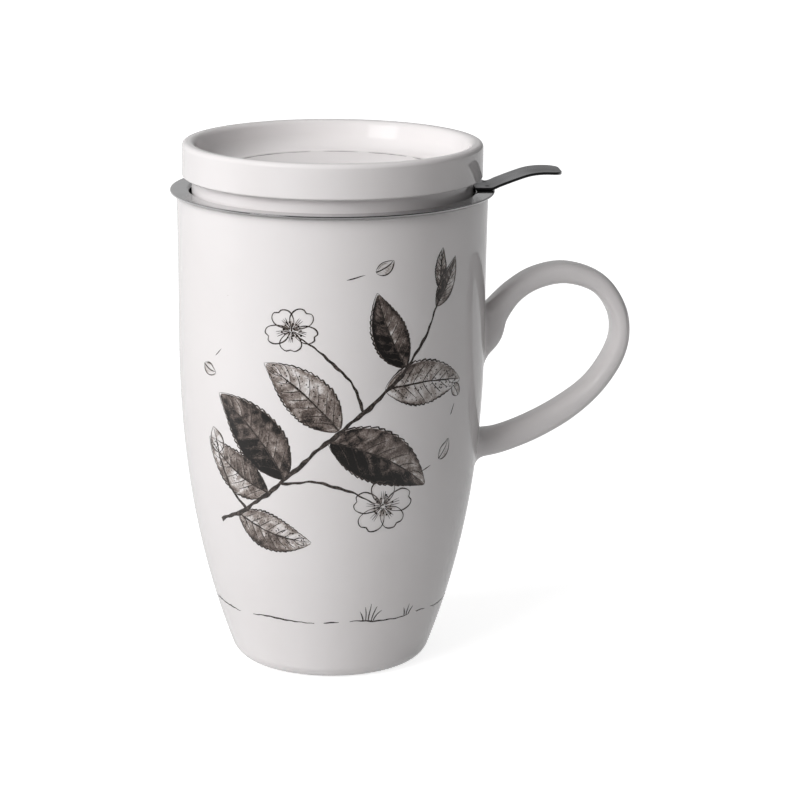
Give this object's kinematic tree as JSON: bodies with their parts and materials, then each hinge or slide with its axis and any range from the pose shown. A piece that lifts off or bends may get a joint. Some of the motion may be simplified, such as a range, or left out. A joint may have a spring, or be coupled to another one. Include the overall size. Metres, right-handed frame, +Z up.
{
  "type": "lidded tea mug with infuser",
  "caption": "Tall glazed mug with a loop handle, a lift-out perforated steel infuser that hangs from its mouth, and a dished lid whose collar sits in the infuser.",
  "frame": {"origin": "centre of the foot ring, on the surface the mug stands on", "axes": "+Z up along the mug's axis, +X towards the handle"},
  "size_m": [0.132, 0.0916, 0.1503],
  "materials": {
    "porcelain": "gloss",
    "pressed_steel": "satin",
    "perforated_steel": "satin",
    "strap_steel": "satin"
  },
  "bodies": {
    "mug": {"mug_body": "porcelain", "mug_handle": "porcelain"},
    "infuser": {"infuser_rim": "pressed_steel", "infuser_wall": "perforated_steel", "infuser_base": "perforated_steel", "infuser_strap": "strap_steel"},
    "lid": {"lid": "porcelain"}
  },
  "joints": [
    {"name": "infuser_lift", "type": "slide", "parent": "mug", "child": "infuser", "axis": [0, 0, 1], "range_m": [0, 0.09]},
    {"name": "lid_lift", "type": "slide", "parent": "infuser", "child": "lid", "axis": [0, 0, 1], "range_m": [0, 0.03]}
  ]
}
